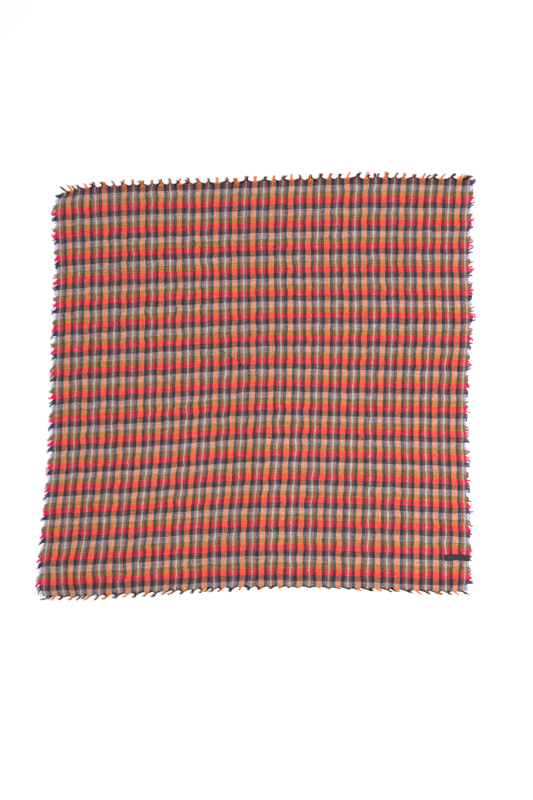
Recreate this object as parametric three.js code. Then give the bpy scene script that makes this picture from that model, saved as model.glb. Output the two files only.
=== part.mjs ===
import * as THREE from 'three';
import { mergeVertices } from 'three/addons/utils/BufferGeometryUtils.js';

// A square wool bandana in a small check, opened out and lying flat on a table.
// All four sides end in a short fringe of the cloth's own yarns. Millimetres, +Z up,
// origin on the table under the middle, +Y towards the top edge, +X towards the right edge.

// The cloth as it was cut
const clothWidth = 653;
const clothLength = 641;
const clothThickness = 1.2;
const gridCell = 20;
const pieceGap = 0.3;

// The check: one repeat of the warp stripes and of the weft bands
const warpRepeat = 29.6;
const weftRepeat = 36.8;
const firstOrangeStripe = 15.7;
const firstOliveBand = 22.8;

// How the cloth lies. Each row is one weft line, evenly spaced from the top edge to the bottom
// edge: x at the left edge, middle and right edge, y at the left edge, the quarters and the right edge.
const weftLines = [
  { x: [-314.5, 14, 342.5], y: [308.5, 321.5, 326.5, 331, 329] },
  { x: [-312.5, 11, 338.5], y: [204, 214, 220, 223, 223] },
  { x: [-314.5, 12, 341.5], y: [96.5, 106.5, 114.5, 115.5, 114.5] },
  { x: [-317.5, 11, 333.5], y: [-9, 0, 10, 8, 6] },
  { x: [-321.5, 6, 332.5], y: [-118.5, -109.5, -98.5, -100.5, -105.5] },
  { x: [-331.5, -2, 336.5], y: [-224, -215, -206, -208, -215] },
  { x: [-339.5, -6, 337], y: [-334.5, -327.5, -319.5, -321.5, -325.5] },
];

// Folds that never pressed out, each a soft ridge between two points of the cloth.
// Points are fractions of the cloth, across from the left edge and down from the top edge.
const softFolds = [
  { fold: 'middle, broad', from: [0.49, 0.48], to: [0.52, 0.95], halfWidth: 55, height: 2.0 },
  { fold: 'middle, crease', from: [0.50, 0.62], to: [0.52, 0.94], halfWidth: 15, height: 1.2 },
  { fold: 'upper third', from: [0.17, 0.17], to: [0.95, 0.23], halfWidth: 16, height: 1.4 },
  { fold: 'left of the middle', from: [0.05, 0.456], to: [0.18, 0.468], halfWidth: 14, height: 1.8 },
  { fold: 'lower third', from: [0.06, 0.735], to: [0.94, 0.735], halfWidth: 16, height: 1.3 },
  { fold: 'slanting pinch', from: [0.40, 0.42], to: [0.47, 0.475], halfWidth: 13, height: 2.2 },
  { fold: 'lower left pinch', from: [0.13, 0.81], to: [0.135, 0.90], halfWidth: 15, height: 2.6 },
  { fold: 'lower left corner', from: [0.10, 0.90], to: [0.06, 0.955], halfWidth: 20, height: 2.4 },
];
const foldRun = 30;        // a ridge dies out over this length past its ends
const pressedFlat = 0.3;   // the weight of the cloth presses out what is lower than this
const flatRim = [5, 40];   // the folds start this far in from the edge and are full this far in

// Fringe: a narrow strip at the cloth's edge holds the roots of the strands
const stripWidth = 1.6;
const fringeThickness = 1.1;
const cornerRoom = 1;                        // bare length at each end of the strip
const strandUneven = { reach: 0.12, sweep: 1.1 };   // share of the reach, and millimetres of sweep
const strandBend = { sweep: 0.35, reach: 0.5 };     // where the strand's middle lies on its way

// Strands in one repeat, by their place in the repeat (0 to 1)
const warpTufts = [
  { at: 0.0, reach: 1.0, rootHalf: 3.2, middleHalf: 1.1 },
  { at: 0.36, reach: 0.95, rootHalf: 2.6, middleHalf: 0.9 },
  { at: 0.66, reach: 0.85, rootHalf: 2.6, middleHalf: 0.9 },
];
const weftLocks = [
  { at: 0.0, reach: 0.75, rootHalf: 3.2, middleHalf: 1.9 },
  { at: 0.25, reach: 1.1, rootHalf: 3.2, middleHalf: 1.6 },
  { at: 0.49, reach: 1.0, rootHalf: 3.2, middleHalf: 1.4 },
  { at: 0.74, reach: 0.85, rootHalf: 3.4, middleHalf: 2.0 },
];

// One row per side, values evenly spaced along it from left to right or from top to bottom:
// reach is how far the strands stand out, sweep how far their tips lie along the edge.
const sides = {
  top: { reach: [7.5, 8, 7.5, 8.5, 8], sweep: [-6, -1.5, 0.5, 3.5, 8] },
  bottom: { reach: [6, 7.5, 8, 7.5, 6, 2.6, 4, 6, 7], sweep: [-10, -9, -7, -5, -3, 0, 5, 7, 9] },
  left: { reach: [8, 8.5, 9, 9, 8.5], sweep: [1.5, 2, 2.5, 5, 6] },
  right: { reach: [6.5, 7.5, 7.5, 7.5, 7.5], sweep: [-4.5, -2, 0, 2, 4] },
};

// The sewn label, bare, over the lower end of the right edge
const label = { width: 39, height: 9.2, thickness: 0.6, pastEdge: 6.6, middleDown: 594 };

// Catmull-Rom curve through evenly spaced values. It runs on past both ends.
function along(values, at) {
  const last = values.length - 1;
  const place = at * last;
  const k = THREE.MathUtils.clamp(Math.floor(place), 0, last - 1);
  const f = place - k;
  const b = values[k];
  const c = values[k + 1];
  const a = k > 0 ? values[k - 1] : 2 * b - c;
  const d = k < last - 1 ? values[k + 2] : 2 * c - b;
  const slope = c - a;
  const bend = 2 * a - 5 * b + 4 * c - d;
  const twist = 3 * b - a - 3 * c + d;
  return b + 0.5 * f * (slope + f * (bend + f * twist));
}

// Where a point of the cloth lies on the table
function layOut(across, down) {
  const u = across / clothWidth;
  const v = down / clothLength;
  const x = along(weftLines.map((line) => along(line.x, u)), v);
  const y = along(weftLines.map((line) => along(line.y, u)), v);
  return new THREE.Vector2(x, y);
}

// How high the underside of the cloth is off the table
function lift(across, down) {
  const point = new THREE.Vector3(across, down, 0);
  const nearest = new THREE.Vector3();
  let height = 0;
  for (const { from, to, halfWidth, height: crest } of softFolds) {
    const start = new THREE.Vector3(from[0] * clothWidth, from[1] * clothLength, 0);
    const end = new THREE.Vector3(to[0] * clothWidth, to[1] * clothLength, 0);
    const line = new THREE.Line3(start, end);
    const run = line.closestPointToPointParameter(point, false);
    line.closestPointToPoint(point, false, nearest);
    const past = Math.max(-run, run - 1, 0) * line.distance();
    const off = nearest.distanceTo(point);
    height += crest * Math.exp(-((off / halfWidth) ** 2) - (past / foldRun) ** 2);
  }
  const fromEdge = Math.min(across, clothWidth - across, down, clothLength - down);
  const rim = THREE.MathUtils.smoothstep(fromEdge, ...flatRim);
  return Math.max(height * rim - pressedFlat, 0);
}

// Even stations from one place to another, in steps of about one cell
function stations(from, to, cell) {
  const count = Math.ceil((to - from) / cell);
  return Array.from({ length: count + 1 }, (_, k) => from + ((to - from) * k) / count);
}

// A closed sheet over a grid of cloth points, between two heights
function sheet(acrossAt, downAt, under, over) {
  const columns = acrossAt.length;
  const rows = downAt.length;
  const positions = [];
  for (const height of [under, over]) {
    for (const down of downAt) {
      for (const across of acrossAt) {
        const { x, y } = layOut(across, down);
        positions.push(x, y, height(across, down));
      }
    }
  }
  const indices = [];
  const upper = columns * rows;
  const quad = (a, b, c, d) => indices.push(a, b, c, a, c, d);
  for (let row = 0; row < rows - 1; row++) {
    for (let column = 0; column < columns - 1; column++) {
      const a = row * columns + column;
      const b = a + 1;
      const c = b + columns;
      const d = a + columns;
      quad(a, b, c, d);
      quad(upper + a, upper + d, upper + c, upper + b);
    }
  }
  const rim = [];
  for (let column = 0; column < columns - 1; column++) rim.push(column);
  for (let row = 0; row < rows - 1; row++) rim.push(row * columns + columns - 1);
  for (let column = columns - 1; column > 0; column--) rim.push((rows - 1) * columns + column);
  for (let row = rows - 1; row > 0; row--) rim.push(row * columns);
  rim.forEach((a, k) => {
    const b = rim[(k + 1) % rim.length];
    quad(a, upper + a, upper + b, b);
  });
  const geometry = new THREE.BufferGeometry();
  geometry.setAttribute('position', new THREE.Float32BufferAttribute(positions, 3));
  geometry.setIndex(indices);
  geometry.computeVertexNormals();
  return geometry;
}

// A small steady unevenness from -1 to 1, the same for the same strand each time
function uneven(seed) {
  const wave = Math.sin(seed * 12.9898) * 43758.5453;
  return 2 * (wave - Math.floor(wave)) - 1;
}

// Places of the strands along a side, from the repeat of the check
function strandPlaces(kinds, repeat, firstAt, length) {
  const places = [];
  for (let k = -1; k * repeat < length; k++) {
    for (const kind of kinds) {
      const place = firstAt + (k + kind.at) * repeat;
      const fromEnd = Math.min(place, length - place);
      const inside = fromEnd > kind.rootHalf + cornerRoom;
      if (inside) places.push({ ...kind, place });
    }
  }
  return places.sort((a, b) => a.place - b.place);
}

// Outline of one strand as points (run along the edge, reach out from it), from root to root
function strandOutline({ place, reach, rootHalf, middleHalf }, side, length, seed) {
  const at = place / length;
  const out = along(side.reach, at) * reach * (1 + strandUneven.reach * uneven(seed));
  const sweep = along(side.sweep, at) + strandUneven.sweep * uneven(seed + 0.5);
  const root = pieceGap + stripWidth;
  const tip = new THREE.Vector2(place + sweep, root + out);
  const middle = new THREE.Vector2(place + strandBend.sweep * sweep, root + strandBend.reach * out);
  const halfWay = new THREE.Vector2(-out, sweep).setLength(middleHalf);
  return [
    new THREE.Vector2(place - rootHalf, root),
    middle.clone().add(halfWay),
    tip,
    middle.clone().sub(halfWay),
    new THREE.Vector2(place + rootHalf, root),
  ];
}

// A strip along one side with its strands, level on the table.
// toCloth turns (run along the edge, reach out from it) into a point of the cloth.
function fringe(side, kinds, repeat, firstAt, length, toCloth) {
  const outline = [];
  const add = (run, out) => {
    const { x, y } = layOut(...toCloth(run, out));
    outline.push(new THREE.Vector2(x, y));
  };
  add(0, pieceGap + stripWidth);
  strandPlaces(kinds, repeat, firstAt, length).forEach((strand, k) => {
    for (const { x, y } of strandOutline(strand, side, length, k)) add(x, y);
  });
  add(length, pieceGap + stripWidth);
  for (const run of stations(0, length, gridCell).reverse()) add(run, pieceGap);
  const shape = new THREE.Shape(outline);
  const geometry = new THREE.ExtrudeGeometry(shape, { depth: fringeThickness, bevelEnabled: false });
  geometry.deleteAttribute('normal');
  geometry.deleteAttribute('uv');
  const closed = mergeVertices(geometry);
  closed.computeVertexNormals();
  return closed;
}

function piece(name, geometry, color, roughness) {
  const material = new THREE.MeshStandardMaterial({ color, roughness, metalness: 0 });
  const mesh = new THREE.Mesh(geometry, material);
  mesh.name = name;
  return mesh;
}

const group = new THREE.Group();

const clothAcross = stations(0, clothWidth, gridCell);
const clothDown = stations(0, clothLength, gridCell);
const clothTop = (across, down) => lift(across, down) + clothThickness;
group.add(piece('cloth', sheet(clothAcross, clothDown, lift, clothTop), '#a35c49', 0.95));

const warpEnds = [warpTufts, warpRepeat, firstOrangeStripe, clothWidth];
const weftEnds = [weftLocks, weftRepeat, firstOliveBand, clothLength];
const toTop = (run, out) => [run, -out];
const toBottom = (run, out) => [run, clothLength + out];
const toLeft = (run, out) => [-out, run];
const toRight = (run, out) => [clothWidth + out, run];
group.add(piece('fringe_top', fringe(sides.top, ...warpEnds, toTop), '#6b4430', 0.9));
group.add(piece('fringe_bottom', fringe(sides.bottom, ...warpEnds, toBottom), '#6b4430', 0.9));
group.add(piece('fringe_left', fringe(sides.left, ...weftEnds, toLeft), '#a04c66', 0.9));
group.add(piece('fringe_right', fringe(sides.right, ...weftEnds, toRight), '#a04c66', 0.9));

const labelRight = clothWidth + label.pastEdge;
const labelAcross = stations(labelRight - label.width, labelRight, label.width / 4);
const labelDown = [label.middleDown - label.height / 2, label.middleDown + label.height / 2];
const labelUnder = () => clothThickness + pieceGap;
const labelOver = () => clothThickness + pieceGap + label.thickness;
group.add(piece('label', sheet(labelAcross, labelDown, labelUnder, labelOver), '#35302f', 0.7));

export default group;
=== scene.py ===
import math

import bpy
import numpy as np
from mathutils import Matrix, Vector


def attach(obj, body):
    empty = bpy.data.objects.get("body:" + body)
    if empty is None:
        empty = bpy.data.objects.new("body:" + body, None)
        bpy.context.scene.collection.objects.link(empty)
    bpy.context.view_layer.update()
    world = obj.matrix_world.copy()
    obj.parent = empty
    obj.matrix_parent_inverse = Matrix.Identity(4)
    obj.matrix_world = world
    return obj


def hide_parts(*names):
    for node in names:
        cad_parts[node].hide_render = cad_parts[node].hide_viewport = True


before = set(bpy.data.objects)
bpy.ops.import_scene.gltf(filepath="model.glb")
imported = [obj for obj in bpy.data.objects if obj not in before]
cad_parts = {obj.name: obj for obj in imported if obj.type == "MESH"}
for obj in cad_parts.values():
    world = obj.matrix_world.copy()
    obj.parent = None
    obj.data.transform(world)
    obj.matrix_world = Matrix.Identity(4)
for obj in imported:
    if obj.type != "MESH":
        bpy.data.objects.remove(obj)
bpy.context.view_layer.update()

# A square wool bandana in a small check, opened out on a pale table and seen from straight above.
# Everything is in metres, +Z up. A point of the cloth is named by how far it is across from the
# left edge and down from the top edge; the yarns of the fringe run on past the edges.

scene = bpy.context.scene
mm = 0.001


# Small helpers

def linear(hexColour):   # sRGB hex to linear colour
    channels = [int(hexColour[k:k + 2], 16) / 255 for k in (1, 3, 5)]
    return [c / 12.92 if c <= 0.04045 else ((c + 0.055) / 1.055) ** 2.4 for c in channels] + [1.0]


def addNode(tree, kind, inputs=(), **settings):
    # A node with its settings, and its values or links by name or by place. A short kind is a
    # shader node. Gives the first output that the settings leave in use.
    node = tree.nodes.new(kind if "Node" in kind else "ShaderNode" + kind)
    for name, value in settings.items():
        setattr(node, name, value)
    for name, value in inputs.items() if isinstance(inputs, dict) else enumerate(inputs):
        if isinstance(value, bpy.types.NodeSocket):
            tree.links.new(value, node.inputs[name])
        else:
            node.inputs[name].default_value = value
    return next((socket for socket in node.outputs if socket.enabled), None)


def varied(tree, value, noise, amount):   # a value made uneven by a noise from 0 to 1
    middle = addNode(tree, "Math", [value, amount / 2], operation="SUBTRACT")
    return addNode(tree, "Math", [noise, amount, middle], operation="MULTIPLY_ADD")


def newMaterial(name, **finish):   # a material with its shader's even values
    material = bpy.data.materials.new(name)
    material.use_nodes = True
    shader = material.node_tree.nodes["Principled BSDF"]
    for socket, value in finish.items():
        shader.inputs[socket.replace("_", " ")].default_value = value
    return material, material.node_tree, shader


def addObject(name, mesh):
    piece = bpy.data.objects.new(name, mesh)
    scene.collection.objects.link(piece)
    return piece


def smoothStep(values, low, high):
    share = np.clip((values - low) / (high - low), 0, 1)
    return share * share * (3 - 2 * share)


# Camera, straight above

view = {
    "centre": (18.4 * mm, -22.4 * mm),   # the point of the table in the middle of the picture
    "height": 2.4,
    "tall": 1.28,                        # how much of the table the picture's height spans
    "sensor": 24,                        # millimetres
}

cameraData = bpy.data.cameras.new("camera")
cameraData.sensor_fit = "VERTICAL"
cameraData.sensor_height = view["sensor"]
cameraData.lens = view["sensor"] * view["height"] / view["tall"]
camera = addObject("camera", cameraData)
camera.location = (*view["centre"], view["height"])
scene.camera = camera
print("camera ready")


# Table and studio light

studio = {
    "tableSize": 8.0,
    "tableColour": "#ffffff",
    "tableShade": "#fafafa",        # the faint grain of the paint
    "tableDrop": 0.2 * mm,          # the table top lies this far under the cloth's lowest points
    "fillStrength": 0.735,          # even light from all round
    "keyPower": 45,                 # watts, a large soft box low on the right
    "keySize": 1.4,
    "keyAt": (1.68, -0.6, 1.9),
}

tableMaterial, tableTree, tableShader = newMaterial("matt painted board", Roughness=0.9)
tableGrain = addNode(tableTree, "TexNoise", {"Scale": 60.0, "Detail": 3.0})
tableTone = addNode(tableTree, "ValToRGB", [tableGrain])
for step, colour in zip(tableTone.node.color_ramp.elements, ("tableShade", "tableColour")):
    step.color = linear(studio[colour])
tableTree.links.new(tableTone, tableShader.inputs["Base Color"])

half = studio["tableSize"] / 2
tableMesh = bpy.data.meshes.new("table")
tableCorners = [(-half, -half), (half, -half), (half, half), (-half, half)]
tableMesh.from_pydata([(x, y, -studio["tableDrop"]) for x, y in tableCorners], [], [(0, 1, 2, 3)])
tableMesh.materials.append(tableMaterial)
table = addObject("table", tableMesh)

world = bpy.data.worlds.new("studio")
world.use_nodes = True
worldShade = world.node_tree.nodes["Background"]
worldShade.inputs["Color"].default_value = linear("#ffffff")
worldShade.inputs["Strength"].default_value = studio["fillStrength"]
scene.world = world

keyData = bpy.data.lights.new("softBox", "AREA")
keyData.shape = "SQUARE"
keyData.size = studio["keySize"]
keyData.energy = studio["keyPower"]
key = addObject("softBox", keyData)
key.location = studio["keyAt"]
key.rotation_euler = (-Vector(studio["keyAt"])).to_track_quat("-Z", "Y").to_euler()
scene.view_settings.view_transform = "Standard"
print("table and light ready")


# How the cloth lies, the same rules and values as in the solid

clothSize = {
    "width": 653 * mm,
    "length": 641 * mm,
    "thickness": 1.0 * mm,
    "columns": 214,
    "rows": 210,
    # where creases need a closer mesh: from and to in millimetres, and how many times closer
    "finerAcross": [(258, 314, 3.2), (314, 340, 1.6), (630, 654, 1.6)],
    "finerDown": [(268, 310, 3.2), (466, 488, 1.8), (612, 638, 1.6)],
    "edgeRound": 0.8 * mm,         # the raw edge is thinner over this width
    "edgeThickness": 0.6 * mm,
}
# Woven cloth past each edge of the solid cloth, where the solid's fringe strips start
rim = {"left": 4.6 * mm, "right": 4.0 * mm, "top": 1.1 * mm, "bottom": 1.5 * mm}
ragDepth = 2.0 * mm        # how far the loose lilac picks keep back at both side edges
ragStart = -5.3 * mm       # halfway between two lilac bands
ragRepeat = 36.8 * mm      # one repeat of the weft
ragChance = 0.7 * mm       # how unevenly, and in waves of which lengths
ragWaves = (7.3 * mm, 23.7 * mm)
# Each row is one weft line, evenly spaced from the top edge to the bottom edge, in millimetres:
# x at the left edge, middle and right edge, y at the left edge, the quarters and the right edge.
weftLineX = np.array([
    [-314.5, 14, 342.5], [-312.5, 11, 338.5], [-314.5, 12, 341.5], [-317.5, 11, 333.5],
    [-321.5, 6, 332.5], [-331.5, -2, 336.5], [-339.5, -6, 337],
]) * mm
weftLineY = np.array([
    [308.5, 321.5, 326.5, 331, 329], [204, 214, 220, 223, 223], [96.5, 106.5, 114.5, 115.5, 114.5],
    [-9, 0, 10, 8, 6], [-118.5, -109.5, -98.5, -100.5, -105.5], [-224, -215, -206, -208, -215],
    [-334.5, -327.5, -319.5, -321.5, -325.5],
]) * mm

# Folds that never pressed out, the same as in the solid. Each row: from and to, as fractions of the
# cloth across and down, then half its width and its height in millimetres.
softFolds = {
    "middle, broad": ((0.49, 0.48), (0.52, 0.95), 55, 2.0),
    "middle, crease": ((0.50, 0.62), (0.52, 0.94), 15, 1.2),
    "upper third": ((0.17, 0.17), (0.95, 0.23), 16, 1.4),
    "left of the middle": ((0.05, 0.456), (0.18, 0.468), 14, 1.8),
    "lower third": ((0.06, 0.735), (0.94, 0.735), 16, 1.3),
    "slanting pinch": ((0.40, 0.42), (0.47, 0.475), 13, 2.2),
    "lower left pinch": ((0.13, 0.81), (0.135, 0.90), 15, 2.6),
    "lower left corner": ((0.10, 0.90), (0.06, 0.955), 20, 2.4),
}
foldRun = 30 * mm
pressedFlat = 0.3 * mm
flatRim = (5 * mm, 40 * mm)

# Sharp creases: low steps, each with a steep face on one side and a long soft back on the other.
# Each row: from and to, then in millimetres its height, which side is steep (1 or -1), the widths
# of face and back, and how far the cloth in front of the face has slipped right and up.
creases = {
    "slanting pinch": ((0.405, 0.424), (0.474, 0.479), 3.8, -1, 1.2, 12, (2.2, 0.3)),
    "left line": ((0.01, 0.458), (0.17, 0.464), 1.7, 1, 2.2, 14, (0, 0)),
    "lower line, left": ((0.02, 0.738), (0.21, 0.745), 1.8, 1, 2.2, 16, (0, 0.5)),
    "lower line, right": ((0.21, 0.745), (0.97, 0.729), 0.8, 1, 2.6, 16, (0, 0.3)),
    "middle, short": ((0.486, 0.68), (0.491, 0.752), 2.0, -1, 2.2, 10, (0.8, 0)),
    "middle, long": ((0.489, 0.56), (0.517, 0.95), 1.2, -1, 5, 26, (0, 0)),
    "lower left": ((0.118, 0.80), (0.156, 0.905), 3.0, -1, 4.5, 16, (1.0, 0)),
    "upper left line": ((0.20, 0.176), (0.55, 0.176), 0.8, 1, 3.0, 14, (0, 0)),
    "upper right line": ((0.66, 0.217), (0.97, 0.225), 0.8, 1, 3.0, 14, (0, 0)),
    "lower right pinch": ((0.972, 0.988), (0.988, 0.955), 1.8, 1, 3.0, 10, (1.6, 0)),
}
creaseEnd = 8 * mm      # a crease fades out over this length
slipStart = 1 * mm      # the slip begins this near the crease, and fades out further away
slipFade = 17 * mm

# Small waves that all loosely woven wool has: how far each moves the cloth, and their wavelengths
# across and down. They shift the stripes sideways, the bands up and down, and the surface.
wovenWaves = {
    "stripes": {"amount": 0.36 * mm, "across": (60, 160), "down": (18, 50), "seed": 11},
    "bands": {"amount": 0.30 * mm, "across": (22, 60), "down": (60, 160), "seed": 12},
    "surface": {"amount": 0.16 * mm, "across": (18, 60), "down": (18, 60), "seed": 13},
}
wavesInEach = 28
# Places where the cloth is drawn a little askew. Each row: the middle of the place across and down
# as fractions of the cloth, then in millimetres how far it reaches across and down, and how far it
# moves right and up.
pulls = [
    (0, 0, 36, 11, 6, 0),             # top left corner
    (0, 0, 11, 11, 4.5, -3),
    (0, 0, 80, 18, 0, 1.6),
    (0.10, 0, 50, 45, 0, 2.1),
    (0.34, 0.05, 70, 75, 0, -1.8),
    (0, 0.21, 22, 45, 2.2, -1.0),
    (0, 0.48, 20, 180, 0, -1.2),
    (0.31, 0.24, 85, 32, 1.5, 0),
    (0.95, 0.27, 75, 55, -2.3, 0),
    (0.85, 0.72, 95, 42, 1.7, 0),
    (0.45, 0, 60, 14, 1.5, 0),
    (0.93, 0, 90, 14, 1.4, 0),
    (0.46, 0.765, 40, 30, 1.4, 0),
    (0.20, 0.86, 26, 85, 0, -1.0),
    (0.09, 0.93, 80, 24, -2.8, 0),
    (0.03, 1.01, 52, 13, 5.0, 0),     # bottom left corner
    (0.12, 1, 60, 18, 0, -1.4),
    (0.93, 1, 60, 17, 0, -2.0),       # bottom right corner
    (1, 1, 20, 14, -2, 0),
    (0.60, 0.955, 180, 34, 0, 1.5),
    (0.105, 0.985, 26, 24, -2.4, 0),
    (0.085, 0.94, 22, 24, -1.8, 0),
    (0.40, 0.98, 60, 18, 1.5, 0),
    (0.10, 0.02, 22, 30, -1.7, -0.8),
    (1, 0.93, 32, 40, 0, 2.0),
    (1, 0.13, 26, 70, -1.3, 0),
]
surfaceDip = 0.12 * mm   # how far the upper side may sink between two waves


def along(values, at):   # a smooth curve through evenly spaced values; runs on past both ends
    last = len(values) - 1
    place = np.asarray(at) * last
    k = np.clip(np.floor(place), 0, last - 1).astype(int)
    f = place - k
    rows = np.concatenate([[2 * values[0] - values[1]], values, [2 * values[-1] - values[-2]]])
    if rows.ndim == 2:
        a, b, c, d = (rows[k + n, np.arange(rows.shape[1])] for n in range(4))
    else:
        a, b, c, d = (rows[k + n] for n in range(4))
    slope, bend, twist = c - a, 2 * a - 5 * b + 4 * c - d, 3 * b - a - 3 * c + d
    return b + 0.5 * f * (slope + f * (bend + f * twist))


def waveSum(kind, across, down):   # random soft waves, the same each run
    settings = wovenWaves[kind]
    chance = np.random.default_rng(settings["seed"])
    total = np.zeros_like(across)
    for _ in range(wavesInEach):
        waveAcross = chance.uniform(*settings["across"]) * mm * chance.choice([-1, 1])
        waveDown = chance.uniform(*settings["down"]) * mm
        start = chance.uniform(0, 2 * math.pi)
        total += np.cos(2 * math.pi * (across / waveAcross + down / waveDown) + start)
    return total * settings["amount"] * math.sqrt(2 / wavesInEach)


def fromLine(start, end, across, down):   # distance to one side of a line, and past its ends
    whole = (clothSize["width"], clothSize["length"])
    start = np.array(start) * whole
    line = np.array(end) * whole - start
    size = np.linalg.norm(line)
    run = ((across - start[0]) * line[0] + (down - start[1]) * line[1]) / size ** 2
    off = ((across - start[0]) * line[1] - (down - start[1]) * line[0]) / size
    return off, np.maximum(np.maximum(-run, run - 1), 0) * size


def layOut(across, down):   # where a point of the cloth lies on the table
    u = across / clothSize["width"]
    v = down / clothSize["length"]
    x = along(np.array([along(line, u) for line in weftLineX]), v) + waveSum("stripes", across, down)
    y = along(np.array([along(line, u) for line in weftLineY]), v) + waveSum("bands", across, down)
    for atAcross, atDown, reachAcross, reachDown, moveRight, moveUp in pulls:
        away = (u - atAcross) * clothSize["width"] / (reachAcross * mm)
        below = (v - atDown) * clothSize["length"] / (reachDown * mm)
        share = np.exp(-away ** 2 - below ** 2)
        x += moveRight * mm * share
        y += moveUp * mm * share
    for start, end, _, steepSide, _, _, (slipRight, slipUp) in creases.values():
        off, past = fromLine(start, end, across, down)
        off *= steepSide
        share = np.exp(-np.maximum(off, 0) / slipFade - (past / creaseEnd) ** 2)
        share *= smoothStep(off, -slipStart, slipStart)
        x += slipRight * mm * share
        y += slipUp * mm * share
    return x, y


def lift(across, down):   # how high the underside of the cloth is off the table
    width, length = clothSize["width"], clothSize["length"]
    total = np.zeros_like(across)
    for start, end, halfWidth, height in softFolds.values():
        off, past = fromLine(start, end, across, down)
        total += height * mm * np.exp(-(off / (halfWidth * mm)) ** 2 - (past / foldRun) ** 2)
    fromEdge = np.minimum(np.minimum(across, width - across), np.minimum(down, length - down))
    total = np.maximum(total * smoothStep(fromEdge, *flatRim) - pressedFlat, 0)
    for start, end, height, steepSide, face, back, _ in creases.values():
        off, past = fromLine(start, end, across, down)
        off *= steepSide
        behind = np.exp(-(np.minimum(off, 0) / (back * mm)) ** 2)
        step = behind * (1 - smoothStep(off, 0, face * mm))
        total += height * mm * step * np.exp(-(past / creaseEnd) ** 2)
    return total


def ragged(across, down):   # the raw side edges keep back where the weft is loose
    depth = ragDepth * (0.5 - 0.5 * np.cos(2 * math.pi * (down - ragStart) / ragRepeat)) ** 2
    depth += ragChance * np.sin(down / ragWaves[0]) * np.sin(down / ragWaves[1] + 1)
    width = clothSize["width"]
    fromLeft = np.clip(-across / rim["left"], 0, 1)
    fromRight = np.clip((across - width) / rim["right"], 0, 1)
    return across + depth * (fromLeft - fromRight)


def closedSheet(name, acrossAt, downAt, under, over, uvName, raw=False):
    # One mesh: a lower and an upper layer, joined all round. Raw side edges are ragged.
    down, across = (grid.ravel() for grid in np.meshgrid(downAt, acrossAt, indexing="ij"))
    if raw:
        across = ragged(across, down)
    x, y = layOut(across, down)
    layers = [np.stack([x, y, height(across, down)], 1) for height in (under, over)]
    columns, rows = len(acrossAt), len(downAt)
    upper = columns * rows
    grid = np.arange(upper).reshape(rows, columns)
    corners = grid[:-1, :-1], grid[:-1, 1:], grid[1:, 1:], grid[1:, :-1]
    a, b, c, d = (corner.ravel() for corner in corners)
    lowerFaces = np.stack([a, b, c, d], 1)
    upperFaces = np.stack([a, d, c, b], 1) + upper
    border = np.concatenate([grid[0, :-1], grid[:-1, -1], grid[-1, :0:-1], grid[:0:-1, 0]])
    onward = np.roll(border, -1)
    sideFaces = np.stack([border, border + upper, onward + upper, onward], 1)
    faces = np.concatenate([lowerFaces, upperFaces, sideFaces])
    mesh = bpy.data.meshes.new(name)
    mesh.from_pydata(np.concatenate(layers).tolist(), [], faces.tolist())
    uvLayer = mesh.uv_layers.new(name=uvName)
    plan = np.tile(np.stack([across, down], 1), (2, 1))
    uvLayer.data.foreach_set("uv", plan[faces.ravel()].ravel())
    mesh.polygons.foreach_set("use_smooth", [True] * len(faces))
    mesh.update()
    return mesh


def stations(before, size, after, cells, finer):   # from rim to rim, closer in the finer places
    edge = clothSize["edgeRound"]
    plenty = np.linspace(edge - before, size + after - edge, 4001)
    closeness = 1 + sum((closer - 1) * ((plenty > low * mm) & (plenty < high * mm))
                        for low, high, closer in finer)
    passed = np.cumsum(closeness)
    inner = np.interp(np.linspace(passed[0], passed[-1], cells + 1), passed, plenty)
    return np.concatenate([[-before], inner, [size + after]])


def thinned(across, down):   # how much of each side of the cloth is missing at the raw edge
    fromEdge = np.minimum(
        np.minimum(across + rim["left"], clothSize["width"] + rim["right"] - across) - ragDepth / 2,
        np.minimum(down + rim["top"], clothSize["length"] + rim["bottom"] - down),
    )
    raw = 1 - np.clip(fromEdge / clothSize["edgeRound"], 0, 1)
    return raw * (clothSize["thickness"] - clothSize["edgeThickness"]) / 2


def rise(across, down, lowest):
    return np.maximum(lift(across, down) + waveSum("surface", across, down), lowest)


def clothUnder(across, down):
    return rise(across, down, 0) + thinned(across, down)


def clothOver(across, down):
    return rise(across, down, -surfaceDip) + clothSize["thickness"] - thinned(across, down)


columnsAt = stations(rim["left"], clothSize["width"], rim["right"], clothSize["columns"],
                     clothSize["finerAcross"])
rowsAt = stations(rim["top"], clothSize["length"], rim["bottom"], clothSize["rows"],
                  clothSize["finerDown"])
clothMesh = closedSheet("woolCloth", columnsAt, rowsAt, clothUnder, clothOver, "clothPlan", raw=True)
cloth = addObject("woolCloth", clothMesh)
print("cloth laid out,", len(clothMesh.polygons), "faces")


# The check: dyed yarns of one repeat of the warp and of the weft, with how many of each

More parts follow.
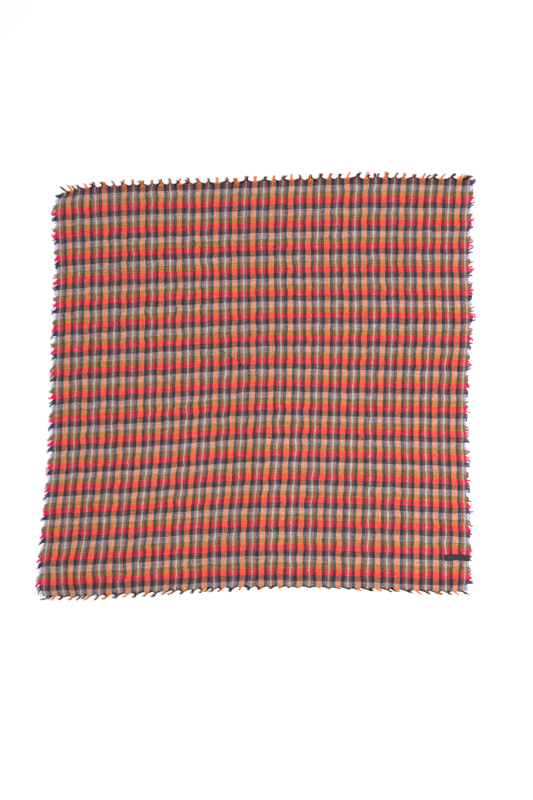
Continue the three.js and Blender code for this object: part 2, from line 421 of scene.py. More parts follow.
check = {
    "warp": [("orange", 6), ("charcoal", 7), ("maroon", 6), ("mint", 4),
             ("maroon", 6), ("charcoal", 7), ("orange", 6)],
    "weft": [("olive", 12), ("red", 12), ("navy", 12), ("lilac", 13)],
    "warpRepeat": 29.6 * mm,
    "weftRepeat": 36.8 * mm,
    "warpStart": 15.5 * mm,      # middle of the first orange stripe, from the left edge
    "weftStart": 18.4 * mm,      # top of the first olive band, from the top edge
}
yarnColours = {
    "orange": "#ff8239", "charcoal": "#21312a", "maroon": "#9b4a36", "mint": "#b7cca4",
    "olive": "#927654", "red": "#ff2653", "navy": "#423f60", "lilac": "#a4a8c0",
}
woolFinish = {
    "warpShare": 0.525,          # how much of the surface the warp shows
    "rimShares": (0.36, 0.06),   # less of it at the left and right edges, where ends are missing
    "rimFade": 2.6 * mm,
    "fibreBlend": 0.25,          # fuzzy fibres blend the two yarns as this power of their light
    "overUnder": 0.10,           # the yarn on top of a crossing shows this much more
    "crossingChance": 0.74,      # unevenness of the blend from crossing to crossing
    "yarnChance": 0.22,          # unevenness of lightness from yarn to yarn
    "slubLength": 14 * mm,       # thick and thin places along a yarn
    "slubChance": 0.48,
    "clumpSize": 2.6 * mm,       # felted clumps of fibre
    "clumpChance": 0.66,
    "lowerEdgePaintedShade": (598 * mm, 642 * mm, 0.12),   # painted shade: darker from here to here, by this share
    "weaveDepth": 0.16 * mm,
    "fuzzDepth": 0.10 * mm,
    "fuzzSize": 0.5 * mm,
}


def settRamp(tree, phase, sett):   # constant colour steps, one per stripe
    ramp = addNode(tree, "ValToRGB", [phase])
    steps = ramp.node.color_ramp.elements
    ramp.node.color_ramp.interpolation = "CONSTANT"
    total = sum(count for _, count in sett)
    passed = 0
    for k, (yarn, count) in enumerate(sett):
        step = steps[k] if k < 2 else steps.new(passed / total)
        step.position = passed / total
        step.color = linear(yarnColours[yarn])
        passed += count
    return ramp


# Plain-woven wool, milled a little: matt and soft, a bright edge of loose fibres, and yarn colours
# that blend at every crossing, so each cell of the check has its own heather shade.
woolMaterial, tree, shader = newMaterial(
    "plain-woven wool", Roughness=0.95, Specular_IOR_Level=0.08,
    Sheen_Weight=0.04, Sheen_Roughness=0.6,
)
plan = addNode(tree, "UVMap", uv_map="clothPlan")
planParts = addNode(tree, "SeparateXYZ", [plan]).node.outputs
yarnCounts = {}
blended = {}
for way, place in (("warp", planParts["X"]), ("weft", planParts["Y"])):
    fromStart = addNode(tree, "Math", [place, check[way + "Start"]], operation="SUBTRACT")
    repeats = addNode(tree, "Math", [fromStart, check[way + "Repeat"]], operation="DIVIDE")
    phase = addNode(tree, "Math", [repeats], operation="FRACT")
    yarnTotal = sum(count for _, count in check[way])
    yarnCounts[way] = addNode(tree, "Math", [repeats, yarnTotal], operation="MULTIPLY")
    colour = settRamp(tree, phase, check[way])
    blended[way] = addNode(tree, "Gamma", {"Color": colour, "Gamma": woolFinish["fibreBlend"]})

endIndex = addNode(tree, "Math", [yarnCounts["warp"]], operation="FLOOR")
pickIndex = addNode(tree, "Math", [yarnCounts["weft"]], operation="FLOOR")
crossing = addNode(tree, "CombineXYZ", [endIndex, pickIndex])
crossingNoise = addNode(tree, "TexWhiteNoise", [crossing], noise_dimensions="2D")

# Over and under: 0 where the warp is on top, 1 where the weft is
indexSum = addNode(tree, "Math", [endIndex, pickIndex], operation="ADD")
weftOnTop = addNode(tree, "Math", [indexSum, 1.0], operation="PINGPONG")
under = 1 - woolFinish["warpShare"] - woolFinish["overUnder"]
share = addNode(tree, "Math", [weftOnTop, 2 * woolFinish["overUnder"], under],
                operation="MULTIPLY_ADD")
weftShare = varied(tree, share, crossingNoise, woolFinish["crossingChance"])
fromSides = (addNode(tree, "Math", [planParts["X"], -1.0], operation="MULTIPLY"),
             addNode(tree, "Math", [planParts["X"], clothSize["width"]], operation="SUBTRACT"))
for fromSide, missing in zip(fromSides, woolFinish["rimShares"]):
    nearRim = addNode(tree, "MapRange", {"Value": fromSide, "From Max": woolFinish["rimFade"]},
                      interpolation_type="SMOOTHSTEP")
    weftShare = addNode(tree, "Math", [nearRim, missing, weftShare], operation="MULTIPLY_ADD")
blend = addNode(tree, "Mix", {"Factor": weftShare, 6: blended["warp"], 7: blended["weft"]},
                data_type="RGBA", clamp_factor=True)
heather = addNode(tree, "Gamma", {"Color": blend, "Gamma": 1 / woolFinish["fibreBlend"]})

# Lightness: from yarn to yarn, along each yarn, and in clumps; then painted shade towards the bottom
# edge
lightness = 1.0
for index, place in ((endIndex, planParts["Y"]), (pickIndex, planParts["X"])):
    yarnNoise = addNode(tree, "TexWhiteNoise", {"W": index}, noise_dimensions="1D")
    lightness = varied(tree, lightness, yarnNoise, woolFinish["yarnChance"])
    stretched = addNode(tree, "Math", [place, woolFinish["slubLength"]], operation="DIVIDE")
    spread = addNode(tree, "Math", [index, 7.31], operation="MULTIPLY")   # neighbours are unrelated
    where = addNode(tree, "CombineXYZ", [stretched, spread])
    slubs = addNode(tree, "TexNoise", {"Vector": where, "Scale": 1.0, "Detail": 1.0},
                    noise_dimensions="2D")
    lightness = varied(tree, lightness, slubs, woolFinish["slubChance"])
clumps = addNode(tree, "TexNoise",
                 {"Vector": plan, "Scale": 1 / woolFinish["clumpSize"], "Detail": 2.0},
                 noise_dimensions="2D")
lightness = varied(tree, lightness, clumps, woolFinish["clumpChance"])
# Painted shade: the cloth's colour is made darker towards its bottom edge
edgeFrom, edgeTo, edgeShade = woolFinish["lowerEdgePaintedShade"]
paintedShadeFactor = addNode(tree, "MapRange",
                 {"Value": planParts["Y"], "From Min": edgeFrom, "From Max": edgeTo,
                  "To Min": 1.0, "To Max": 1 - edgeShade},
                 interpolation_type="SMOOTHSTEP")
lightness = addNode(tree, "Math", [lightness, paintedShadeFactor], operation="MULTIPLY")
tinted = addNode(tree, "VectorMath", {"Vector": heather, "Scale": lightness}, operation="SCALE")
tree.links.new(tinted, shader.inputs["Base Color"])

# Relief: one dome at each crossing, and loose fibre between them
domes = []
for way in ("warp", "weft"):
    turn = addNode(tree, "Math", [yarnCounts[way], math.pi], operation="MULTIPLY")
    wave = addNode(tree, "Math", [turn], operation="SINE")
    domes.append(addNode(tree, "Math", [wave], operation="ABSOLUTE"))
weaveHeight = addNode(tree, "Math", domes, operation="MULTIPLY")
fuzz = addNode(tree, "TexNoise",
               {"Vector": plan, "Scale": 1 / woolFinish["fuzzSize"], "Detail": 3.0},
               noise_dimensions="2D")
fuzzHeight = addNode(tree, "Math", [fuzz, woolFinish["fuzzDepth"]], operation="MULTIPLY")
relief = addNode(tree, "Math", [weaveHeight, woolFinish["weaveDepth"], fuzzHeight],
                 operation="MULTIPLY_ADD")
bump = addNode(tree, "Bump", {"Height": relief, "Distance": 1.0, "Strength": 0.7})
tree.links.new(bump, shader.inputs["Normal"])
clothMesh.materials.append(woolMaterial)
print("wool material ready")


# Fringe: every warp end and weft pick runs on past the edge, and gathers into tufts and locks

# Each list runs from left to right or from top to bottom, in millimetres: how far tips stand out,
# and how far they lean along the edge. The other values are for the whole side: how readily
# bundles share a root, how soon they come together, how many curl into loops, and between which
# fractions of the side the yarns never gathered but stand in pairs, each its own way.
fringes = {
    "top": {"reach": [8.9, 8.9, 8.5, 9.3, 9], "sweep": [-4.2, -1.5, 0.5, 3.5, 6.2],
            "together": 1, "gather": 1, "loops": 0, "loose": (0.972, 1)},
    "bottom": {"reach": [6.2, 7.8, 8, 7.5, 6, 1.9, 4, 6, 7],
               "sweep": [-8, -8, -6.5, -5, -3, 0, 5, 7, 8],
               "together": 0.95, "gather": 1, "loops": 0, "loose": None},
    "left": {"reach": [6.9, 7.4, 7.8, 7.8, 7.2], "sweep": [2.6, 2.8, 3.2, 4.6, 5.6],
             "together": 1, "gather": 0.75, "loops": 0.12, "loose": None},
    "right": {"reach": [6.4, 8.2, 7.7, 8.1, 8.3], "sweep": [-4.5, -2, 1, 2, 4],
              "together": 0.5, "gather": 0.45, "loops": 0.34, "loose": (0, 0.035)},
}
# How the yarns of a side gather. Each bundle has its main colour, its first yarn and its count,
# within one repeat of the check.
warpBundles = {
    "bundles": [("orange", -6, 12), ("charcoal", 6, 7), ("mixed", 13, 16), ("charcoal", 29, 7)],
    "reach": {"orange": 1.0, "charcoal": 0.92, "mixed": 0.95},
    "thickness": {"orange": 1.1, "charcoal": 1.2, "maroon": 1.05, "mint": 0.6},
    "gather": {},                # how far out each colour gathers, as a share of gatherBy
    "neck": {},                  # how far it moves to the side it leans to, as a share of its width
    "joins": {"charcoal": 0.93},  # chance that a dark bundle shares the root of its neighbour
    "joinShare": 0.88,           # how near the two roots come
    "loopSize": 0.0,             # radius of a loop, where a bundle curls back on itself
    "inset": {},
    "gatherBy": 4.2 * mm,        # the yarns have come together this far out
    "gatherCurve": 2.4,          # above 1 they run along the edge first, below 1 straight out first
    "kept": 0.0,                 # share of their spacing that they keep
    "rope": (0.62, 0.55),        # half width and height of a bundle of four, in yarn widths
    "turns": 1.1,                # twist from root to tip
    "fray": 0.15,
    "cut": (0.86, 1.0),
    "split": 0.3,                # chance that the tip divides
    "hook": 1.6 * mm,
    "curl": 0.10 * mm,
    "hookBack": 0.0,             # how much the tips curl back against their lean
    "uneven": (0.78, 1.2),       # reach from bundle to bundle
    "yarn": 0.48 * mm,           # radius of a yarn
}
weftBundles = {
    "bundles": [("olive", 0, 6), ("olive", 6, 6), ("red", 12, 6), ("red", 18, 6), ("navy", 24, 6),
                ("navy", 30, 6), ("lilac", 36, 6), ("lilac", 42, 7)],
    "reach": {"olive": 1.0, "red": 1.12, "navy": 1.06, "lilac": 0.85},
    "thickness": {"olive": 0.8, "red": 0.95, "navy": 0.8, "lilac": 0.42},
    "gather": {"olive": 0.9, "red": 0.7, "navy": 0.8, "lilac": 3.0},
    "neck": {"olive": 0.15, "red": 0.28, "navy": 0.2, "lilac": 0.0},
    "joins": {"olive": 0.5, "navy": 0.6, "red": 0.92},
    "joinShare": 0.45,
    "loopSize": 2.5 * mm,
    "inset": {"lilac": 2.0 * mm},   # the loose picks keep back
    "gatherBy": 7.0 * mm,
    "gatherCurve": 0.8,
    "kept": 0.12,
    "rope": (0.85, 0.35),
    "turns": 0.35,
    "fray": 0.5,
    "cut": (0.70, 1.0),
    "split": 0.6,
    "hook": 2.6 * mm,
    "hookBack": 0.55,
    "curl": 0.35 * mm,
    "uneven": (0.68, 1.15),
    "yarn": 0.38 * mm,
}
pathSteps = np.array([0, 0.07, 0.16, 0.27, 0.40, 0.54, 0.68, 0.80, 0.91, 1.0])
rootInside = 2.2 * mm
rootHeight = 0.5 * mm
cornerRoom = 0.4 * mm
looseStray = 3.2 * mm     # where the yarns never gathered: how unevenly they lean,
looseReach = (0.55, 1.2)  # and their length as a share of the side's reach
# The run of a yarn in its bundle. Ranges are shares unless a unit is given.
yarnRun = {
    "taper": 0.3,              # bundles are this much narrower at the tip
    "turnRange": (0.7, 1.2),
    "tipGap": (0.8, 1.8),      # millimetres between the halves of a divided tip
    "hookChance": 0.6,
    "hookRange": (0.6, 1.3),
    "hookFrom": 0.45,          # a hook begins this far along
    "hookBack": 0.25,          # and takes this much of itself off the reach
    "curlWaves": (0.5, 1.3),   # along a yarn
    "loopTurn": 1.35,          # half turns that a loop makes
    "loopRange": (0.9, 1.1),
    "loopNear": 0.45,          # how far out a loop lies, as a share of the reach
    "standing": 0.4,           # millimetres that tips stand up
    "pairApart": (0.0, 1.2),   # millimetres between the tips of two bundles on one root
    "leanChance": 1.2,         # millimetres
    "neckChance": 0.4,         # the gathering place, in spacings of the yarns
    "tipThin": 0.4,            # yarns are this much thinner at the tip
}


def kindOf(sett, index):   # which dyed yarn one end or pick is
    left = index % sum(count for _, count in sett)
    for yarn, count in sett:
        if left < count:
            return yarn
        left -= count


def bundleYarns(roots, neck, reach, sweep, gatherBy, loops, habit, chance):
    # Points of every yarn of one bundle: along the edge, out from it, and height
    count = len(roots)
    t = pathSteps[None, :]
    long = (reach * chance.uniform(*habit["cut"], count))[:, None]
    out = long * t
    gathered = np.clip(out / min(gatherBy, max(reach, gatherBy / 2)), 0, 1)
    spacing = habit["kept"] + (1 - habit["kept"]) * (1 - gathered) ** habit["gatherCurve"]
    wide, high = (part * habit["yarn"] * math.sqrt(count) for part in habit["rope"])
    ring = np.sqrt(chance.uniform(0, 1, count))[:, None]
    ring = ring * (1 + habit["fray"] * t * t) * (1 - yarnRun["taper"] * t)
    start = chance.uniform(0, 2 * math.pi, count)[:, None]
    turn = start + habit["turns"] * 2 * math.pi * chance.uniform(*yarnRun["turnRange"]) * t
    divided = chance.random() < habit["split"]
    divide = chance.uniform(*yarnRun["tipGap"]) * mm if divided else 0
    looping = chance.random() < loops
    branch = np.where(np.arange(count) < chance.integers(1, max(count, 2)), -1, 1)[:, None]
    hook = chance.normal(0, yarnRun["hookChance"]) - habit["hookBack"] * np.sign(sweep)
    hook = hook * habit["hook"] * chance.uniform(*yarnRun["hookRange"], count)[:, None]
    waves = chance.uniform(*yarnRun["curlWaves"], count)[:, None]
    curl = habit["curl"] * np.sin(2 * math.pi * waves * t + start)
    late = np.clip(t - yarnRun["hookFrom"], 0, 1) ** 2 / 0.3   # about 1 at the tip
    run = neck + (roots[:, None] - neck) * spacing + sweep * (0.5 * t + 0.5 * t * t)
    run += gathered * wide * ring * np.cos(turn) + divide * branch * t ** 1.5
    run += hook * late + curl * t
    out = out - yarnRun["hookBack"] * np.abs(hook) * late
    if looping:   # out, round and back, close together
        run -= gathered * wide * ring * np.cos(turn) * 0.5 + divide * branch * t ** 1.5
        bend = yarnRun["loopTurn"] * chance.uniform(*yarnRun["loopRange"], count)[:, None]
        bend = bend * math.pi * t
        out = yarnRun["loopNear"] * out + habit["loopSize"] * np.sin(bend)
        run += np.sign(sweep) * habit["loopSize"] * (1 - np.cos(bend)) - hook * late - sweep * t * t
    centre = high + habit["yarn"]
    standing = abs(chance.normal(0, yarnRun["standing"])) * mm * t * t
    height = rootHeight + gathered * (centre - rootHeight + high * ring * np.sin(turn)) + standing
    first = np.stack([roots, np.full(count, -rootInside), np.full(count, rootHeight)], 1)[:, None]
    return np.concatenate([first, np.stack([run, out, height], 2)], 1)


def fringePaths(side, habit, way, length, seed):
    chance = np.random.default_rng(seed)
    repeat, start, sett = check[way + "Repeat"], check[way + "Start"], check[way]
    total = sum(count for _, count in sett)
    pitch = repeat / total
    here = fringes[side]
    reaches, sweeps = (np.array(here[part]) * mm for part in ("reach", "sweep"))
    paths, kinds = [], []
    for turn in range(-1, int(length / repeat) + 2):
        for place, (name, first, count) in enumerate(habit["bundles"]):
            indices = turn * total + first + np.arange(count)
            roots = start + (indices + 0.5) * pitch
            joins = chance.random() < habit["joins"].get(name, 0) * here["together"]
            toward = 1 if chance.random() < 0.5 else -1
            for beside in (1, -1):   # halves of one colour join each other
                if habit["bundles"][(place + beside) % len(habit["bundles"])][0] == name:
                    toward = beside
            apart = chance.uniform(*yarnRun["pairApart"]) * mm
            lean = chance.normal(0, yarnRun["leanChance"]) * mm
            stretch = chance.uniform(*habit["uneven"])
            kept = (roots > cornerRoom) & (roots < length - cornerRoom)
            if not kept.any():
                continue
            roots, indices = roots[kept], indices[kept]
            neck = roots.mean() + chance.normal(0, yarnRun["neckChance"]) * pitch
            if joins:   # moved to the root of the next bundle, tips a little apart
                nextCount = habit["bundles"][(place + toward) % len(habit["bundles"])][2]
                neck += toward * habit["joinShare"] * (count + nextCount) / 2 * pitch
                lean -= toward * apart
            at = np.clip(neck / length, 0, 1)
            reach = along(reaches, at) * habit["reach"][name] * stretch
            sweep = along(sweeps, at) + lean
            neck += np.sign(along(sweeps, at)) * habit["neck"].get(name, 0) * count * pitch
            gatherBy = habit["gatherBy"] * here["gather"] * habit["gather"].get(name, 1)
            kinds += [kindOf(sett, index) for index in indices]
            if here["loose"] and here["loose"][0] <= at <= here["loose"][1]:
                for pair in np.split(roots, np.arange(2, len(roots), 2)):
                    stray = sweep + chance.normal(0, looseStray)
                    long = reach * chance.uniform(*looseReach)
                    yarns = bundleYarns(pair, pair.mean(), long, stray, gatherBy, 0, habit, chance)
                    paths.append(yarns)
                continue
            yarns = bundleYarns(roots, neck, reach, sweep, gatherBy, here["loops"], habit, chance)
            yarns[:, :, 1] -= habit["inset"].get(name, 0)
            paths.append(yarns)
    paths = np.concatenate(paths)
    paths[:, :, 1] += rim[side]
    thickness = np.concatenate([[1], 1 - yarnRun["tipThin"] * pathSteps ** 3])
    return paths, thickness * np.array([[habit["thickness"][kind]] for kind in kinds]), kinds


def toCloth(side, run, out):   # along an edge and out from it, as a point of the cloth
    if side == "top":
        return run, -out
    if side == "bottom":
        return run, clothSize["length"] + out
    if side == "left":
        return -out, run
    return clothSize["width"] + out, run


# A loose yarn shows its full colour; in the cloth the fibres of its neighbours pale it
looseColours = {
    "orange": "#f07a18", "charcoal": "#0f1716", "maroon": "#6e2b2b", "mint": "#b3bd96",
    "olive": "#96704a", "red": "#ee0064", "navy": "#3a3160", "lilac": "#c2c0dc",
}

# Woollen yarn, softly spun: matt, hairy, a little lighter and darker from yarn to yarn
yarnFinish = {
    "sheen": 0.03,
    "toneChance": 0.30,        # unevenness from yarn to yarn, and along each
    "fibreChance": 0.30,
    "fibrePitch": 0.35 * mm,
    "fibreDepth": 0.08 * mm,
}


def yarnMaterial(yarn):
    material, tree, shader = newMaterial(
        "wool yarn, " + yarn, Roughness=0.95, Specular_IOR_Level=0.06,
        Sheen_Weight=yarnFinish["sheen"], Sheen_Roughness=0.6,
    )
    tone = addNode(tree, "Attribute", attribute_name="yarnTone").node.outputs["Fac"]
    where = addNode(tree, "TexCoord").node.outputs["Object"]
    fibres = addNode(tree, "TexNoise",
                     {"Vector": where, "Scale": 1 / yarnFinish["fibrePitch"], "Detail": 2.0})
    light = varied(tree, 1.0, tone, yarnFinish["toneChance"])
    light = varied(tree, light, fibres, yarnFinish["fibreChance"])
    colour = addNode(tree, "VectorMath",
                     {"Vector": linear(looseColours[yarn])[:3], "Scale": light}, operation="SCALE")
    tree.links.new(colour, shader.inputs["Base Color"])
    bump = addNode(tree, "Bump",
                   {"Height": fibres, "Distance": yarnFinish["fibreDepth"], "Strength": 0.8})
    tree.links.new(bump, shader.inputs["Normal"])
    return material


yarnMaterials = {yarn: yarnMaterial(yarn) for yarn in looseColours}

# Yarns from their paths: a soft tube on each, with loose fibres standing off it
yarnTubes = {
    "sides": 5,
    "clear": 0.05 * mm,          # nothing is lower than this
    "fibreStep": 2.7 * mm,       # one loose fibre at each step along a yarn
    "fibreLength": 2.0 * mm,
    "fibreRange": (0.4, 1.3),    # shortest and longest, as a share of that
    "fibreRadius": 0.05 * mm,
    "fibreLean": 1.9,            # radians, either way
}


def newTree(name, values):   # a Geometry Nodes tree with its named inputs
    tree = bpy.data.node_groups.new(name, "GeometryNodeTree")
    for label, kind in {"Geometry": "Geometry", **values}.items():
        tree.interface.new_socket(label, in_out="INPUT", socket_type="NodeSocket" + kind)
    tree.interface.new_socket("Geometry", in_out="OUTPUT", socket_type="NodeSocketGeometry")
    return tree, addNode(tree, "NodeGroupInput").node.outputs


def yarnTree(name, yarns):
    tree, given = newTree(name, {
        "Yarn radius": "Float", "Sides": "Int", "Fibre step": "Float",
        "Fibre length": "Float", "Fibre radius": "Float", "Seed": "Int",
    })
    curves = addNode(tree, "GeometryNodeMeshToCurve", [given["Geometry"]])
    thickness = addNode(tree, "GeometryNodeInputNamedAttribute", {"Name": "thickness"},
                        data_type="FLOAT")
    ring = addNode(tree, "GeometryNodeCurvePrimitiveCircle",
                   {"Resolution": given["Sides"], "Radius": given["Yarn radius"]})
    tubes = addNode(tree, "GeometryNodeCurveToMesh",
                    {"Curve": curves, "Profile Curve": ring, "Scale": thickness, "Fill Caps": True})
    # a loose fibre: a thin bent thread
    bend = addNode(tree, "GeometryNodeCurvePrimitiveBezierSegment",
                   {"Resolution": 3, "Start": (0, 0, 0), "Start Handle": (0, 0, 0.4),
                    "End Handle": (0.25, 0, 0.8), "End": (0.5, 0.1, 0.9)})
    thread = addNode(tree, "GeometryNodeCurvePrimitiveCircle", {"Resolution": 3})
    fineness = addNode(tree, "Math", [given["Fibre radius"], given["Fibre length"]],
                       operation="DIVIDE")
    fibre = addNode(tree, "GeometryNodeCurveToMesh",
                    {"Curve": bend, "Profile Curve": thread, "Scale": fineness, "Fill Caps": True})
    spots = addNode(tree, "GeometryNodeCurveToPoints",
                    {"Curve": curves, "Length": given["Fibre step"]}, mode="LENGTH")
    lean, spin = yarnTubes["fibreLean"], math.pi
    turned = addNode(tree, "FunctionNodeRandomValue",
                     {0: (-lean, -lean, -spin), 1: (lean, lean, spin), "Seed": given["Seed"]},
                     data_type="FLOAT_VECTOR")
    shortest, longest = yarnTubes["fibreRange"]
    length = addNode(tree, "FunctionNodeRandomValue",
                     {2: shortest, 3: longest, "Seed": given["Seed"]}, data_type="FLOAT")
    scale = addNode(tree, "Math", [length, given["Fibre length"]], operation="MULTIPLY")
    fibres = addNode(tree, "GeometryNodeInstanceOnPoints",
                     {"Points": spots, "Instance": fibre, "Rotation": turned, "Scale": scale})
    joined = addNode(tree, "GeometryNodeJoinGeometry", [fibres])
    tree.links.new(tubes, joined.node.inputs[0])
    real = addNode(tree, "GeometryNodeRealizeInstances", [joined])
    # nothing goes through the table
    position = addNode(tree, "GeometryNodeInputPosition")
    parts = addNode(tree, "SeparateXYZ", [position]).node.outputs
    height = addNode(tree, "Math", [parts["Z"], yarnTubes["clear"]], operation="MAXIMUM")
    above = addNode(tree, "CombineXYZ", [parts["X"], parts["Y"], height])
    shape = addNode(tree, "GeometryNodeSetPosition", {"Geometry": real, "Position": above})
    shape = addNode(tree, "GeometryNodeSetShadeSmooth", [shape])
    dyed = addNode(tree, "GeometryNodeInputNamedAttribute", {"Name": "dyed"}, data_type="INT")
    for k, yarn in enumerate(yarns):
        chosen = addNode(tree, "FunctionNodeCompare", {2: dyed, 3: k},
                         data_type="INT", operation="EQUAL")
        shape = addNode(tree, "GeometryNodeSetMaterial",
                        {"Geometry": shape, "Selection": chosen, "Material": yarnMaterials[yarn]})
    addNode(tree, "NodeGroupOutput", [shape])
    return tree


def applied(name, source, tree, values):   # the tree's result as a plain mesh
    modifier = source.modifiers.new("yarns", "NODES")
    modifier.node_group = tree
    for item in tree.interface.items_tree:
        if item.item_type == "SOCKET" and item.in_out == "INPUT" and item.name in values:
            modifier[item.identifier] = values[item.name]
    bpy.context.view_layer.update()
    evaluated = source.evaluated_get(bpy.context.evaluated_depsgraph_get())
    mesh = bpy.data.meshes.new_from_object(evaluated)
    mesh.name = name
    source.modifiers.remove(modifier)
    old = source.data
    source.data = mesh
    bpy.data.meshes.remove(old)
    return source


trees = {
    "warp": yarnTree("warp fringe", ["orange", "charcoal", "maroon", "mint"]),
    "weft": yarnTree("weft fringe", ["olive", "red", "navy", "lilac"]),
}
sideWays = {"top": "warp", "bottom": "warp", "left": "weft", "right": "weft"}
fringePieces = {}
for seed, (side, way) in enumerate(sideWays.items()):
    habit = warpBundles if way == "warp" else weftBundles
    length = clothSize["width"] if way == "warp" else clothSize["length"]
    paths, thick, kinds = fringePaths(side, habit, way, length, 40 + seed)
    yarnCount, pointCount, _ = paths.shape
    flat = paths.reshape(-1, 3)
    across, down = toCloth(side, flat[:, 0], flat[:, 1])
    x, y = layOut(across, down)
    starts = np.arange(yarnCount)[:, None] * pointCount + np.arange(pointCount - 1)
    edges = np.stack([starts.ravel(), starts.ravel() + 1], 1)
    mesh = bpy.data.meshes.new("paths")
    mesh.from_pydata(np.stack([x, y, flat[:, 2]], 1).tolist(), edges.tolist(), [])
    order = list(dict.fromkeys(yarn for yarn, _ in check[way]))
    dyed = np.repeat([order.index(kind) for kind in kinds], pointCount).astype(np.int32)
    tone = np.repeat(np.random.default_rng(seed).uniform(0, 1, yarnCount), pointCount)
    values = {"thickness": thick.ravel(), "dyed": dyed, "yarnTone": tone}
    for mark, kind in (("thickness", "FLOAT"), ("dyed", "INT"), ("yarnTone", "FLOAT")):
        mesh.attributes.new(mark, kind, "POINT").data.foreach_set("value", values[mark])
    name = "fringe" + side.capitalize()
    fringePieces[side] = applied(name, addObject(name, mesh), trees[way], {
        "Yarn radius": habit["yarn"], "Sides": yarnTubes["sides"],
        "Fibre step": yarnTubes["fibreStep"], "Fibre length": yarnTubes["fibreLength"],
        "Fibre radius": yarnTubes["fibreRadius"], "Seed": seed,
    })
    print("fringe", side, yarnCount, "yarns,", len(fringePieces[side].data.polygons), "faces")


# Label: a bare woven ribbon, sewn over the lower end of the right edge

ribbon = {
    "width": 39 * mm,
    "height": 9.2 * mm,
    "thickness": 0.5 * mm,
    "cells": (52, 12),
    "pastEdge": 6.6 * mm,          # past the right edge of the cloth
    "middleDown": 594 * mm,
    "clear": 0.3 * mm,
    "wave": 0.10 * mm,
    "waveRun": 6.5 * mm,
    "softEdge": (-0.2 * mm, 0.8 * mm),
    "endFold": 0.25 * mm,          # the turned-in ends are thicker
    "endFoldBy": (2.0 * mm, 3.2 * mm),
    "colour": "#211e1d",
    "lightness": 0.7,
    "fleckSize": 0.9 * mm,
    "flecks": 0.6,
    "ribPitch": 0.30 * mm,
    "ribDepth": 0.05 * mm,
    "ribs": 0.08,
}
ribbonRight = clothSize["width"] + ribbon["pastEdge"]
ribbonAcross = np.linspace(ribbonRight - ribbon["width"], ribbonRight, ribbon["cells"][0] + 1)
ribbonDown = np.linspace(-0.5, 0.5, ribbon["cells"][1] + 1) * ribbon["height"] + ribbon["middleDown"]


def ribbonUnder(across, down):
    wave = ribbon["wave"] * np.sin((across - ribbonRight) / ribbon["waveRun"]) + ribbon["wave"]
    return clothSize["thickness"] + ribbon["clear"] + wave


def ribbonOver(across, down):
    fromSide = np.minimum(down - ribbonDown[0], ribbonDown[-1] - down)
    fromEnd = np.minimum(across - ribbonAcross[0], ribbonAcross[-1] - across)
    soft = smoothStep(np.minimum(fromSide, fromEnd), *ribbon["softEdge"])
    fold = ribbon["endFold"] * (1 - smoothStep(fromEnd, *ribbon["endFoldBy"]))
    return ribbonUnder(across, down) + ribbon["thickness"] * (0.5 + 0.5 * soft) + fold * soft


ribbonMesh = closedSheet("label", ribbonAcross, ribbonDown, ribbonUnder, ribbonOver, "ribbonPlan")
label = addObject("wovenLabel", ribbonMesh)

# Woven polyester ribbon: fine even ribs across, a faint satin light along them
ribbonMaterial, tree, shader = newMaterial(
    "woven polyester ribbon", Roughness=0.6, Specular_IOR_Level=0.4,
)
ribbonPlan = addNode(tree, "UVMap", uv_map="ribbonPlan")
ribbonParts = addNode(tree, "SeparateXYZ", [ribbonPlan]).node.outputs
ribTurn = addNode(tree, "Math", [ribbonParts["X"], 2 * math.pi / ribbon["ribPitch"]],
                  operation="MULTIPLY")
ribs = addNode(tree, "Math", [ribTurn], operation="SINE")
flecks = addNode(tree, "TexNoise",
                 {"Vector": ribbonPlan, "Scale": 1 / ribbon["fleckSize"], "Detail": 2.0},
                 noise_dimensions="2D")
ribbed = addNode(tree, "Math", [ribs, ribbon["ribs"], ribbon["lightness"]],
                 operation="MULTIPLY_ADD")
ribbonLight = addNode(tree, "Math", [flecks, ribbon["flecks"], ribbed], operation="MULTIPLY_ADD")
ribbonBase = linear(ribbon["colour"])[:3]
ribbonColour = addNode(tree, "VectorMath", {"Vector": ribbonBase, "Scale": ribbonLight},
                       operation="SCALE")
tree.links.new(ribbonColour, shader.inputs["Base Color"])
ribbonBump = addNode(tree, "Bump",
                     {"Height": ribs, "Distance": ribbon["ribDepth"], "Strength": 0.6})
tree.links.new(ribbonBump, shader.inputs["Normal"])
ribbonMesh.materials.append(ribbonMaterial)

# Its stitches: a row of short upright ones near each of the two short ends
stitching = {
    "pitch": 1.6 * mm, "length": 1.15 * mm, "radius": 0.13 * mm, "inset": 1.3 * mm,
    "colour": "#171515",
}
# Polyester thread: smooth, with a faint shine
threadMaterial, tree, shader = newMaterial(
    "polyester sewing thread", Roughness=0.5, Specular_IOR_Level=0.4,
)
shader.inputs["Base Color"].default_value = linear(stitching["colour"])


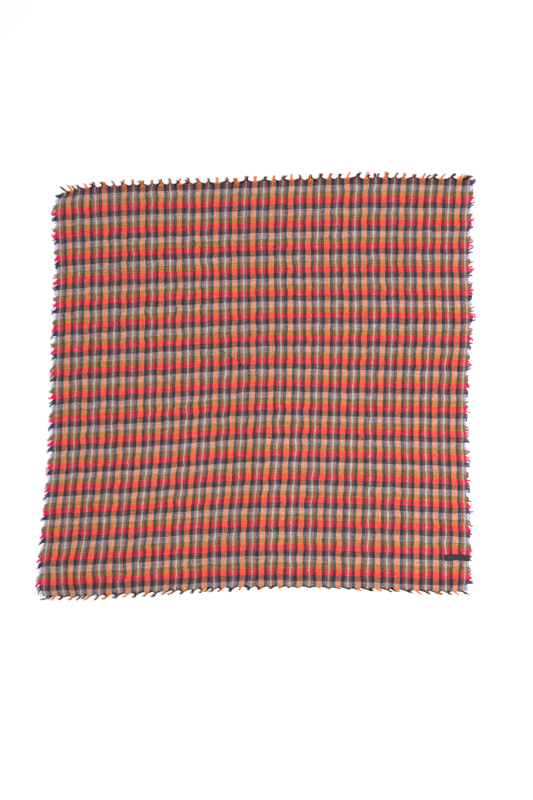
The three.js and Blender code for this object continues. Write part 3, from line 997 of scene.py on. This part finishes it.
def stitchTree():
    tree, given = newTree("label stitches", {"Stitch length": "Float", "Thread radius": "Float"})
    marked = addNode(tree, "GeometryNodeInputNamedAttribute", {"Name": "stitch"},
                     data_type="BOOLEAN")
    spots = addNode(tree, "GeometryNodeMeshToPoints", [given["Geometry"], marked])
    ball = addNode(tree, "GeometryNodeMeshUVSphere", {"Segments": 8, "Rings": 6})
    halfLong = addNode(tree, "Math", [given["Stitch length"], 2.0], operation="DIVIDE")
    size = addNode(tree, "CombineXYZ",
                   [given["Thread radius"], halfLong, given["Thread radius"]])
    stitches = addNode(tree, "GeometryNodeInstanceOnPoints",
                       {"Points": spots, "Instance": ball, "Scale": size})
    real = addNode(tree, "GeometryNodeRealizeInstances", [stitches])
    smooth = addNode(tree, "GeometryNodeSetShadeSmooth", [real])
    sewn = addNode(tree, "GeometryNodeSetMaterial",
                   {"Geometry": smooth, "Material": threadMaterial})
    bare = addNode(tree, "GeometryNodeDeleteGeometry", [given["Geometry"], marked])
    joined = addNode(tree, "GeometryNodeJoinGeometry", [sewn])
    tree.links.new(bare, joined.node.inputs[0])
    addNode(tree, "NodeGroupOutput", [joined])
    return tree


stitchDown = np.arange(ribbonDown[0] + stitching["pitch"] / 2, ribbonDown[-1], stitching["pitch"])
stitchAcross = [ribbonAcross[0] + stitching["inset"], ribbonRight - stitching["inset"]]
down, across = (grid.ravel() for grid in np.meshgrid(stitchDown, stitchAcross, indexing="ij"))
x, y = layOut(across, down)
before = len(ribbonMesh.vertices)
ribbonMesh.vertices.add(len(across))
for k, spot in enumerate(zip(x, y, ribbonOver(across, down))):
    ribbonMesh.vertices[before + k].co = spot
marks = np.arange(len(ribbonMesh.vertices)) >= before
ribbonMesh.attributes.new("stitch", "BOOLEAN", "POINT").data.foreach_set("value", marks)
label = applied("wovenLabel", label, stitchTree(), {
    "Stitch length": stitching["length"], "Thread radius": stitching["radius"],
})
print("label ready,", len(across), "stitches,", len(label.data.polygons), "faces")


# What stands for what

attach(cloth, "root")
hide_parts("cloth")
for side, piece in fringePieces.items():
    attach(piece, "root")
    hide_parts("fringe_" + side)
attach(label, "root")
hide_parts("label")
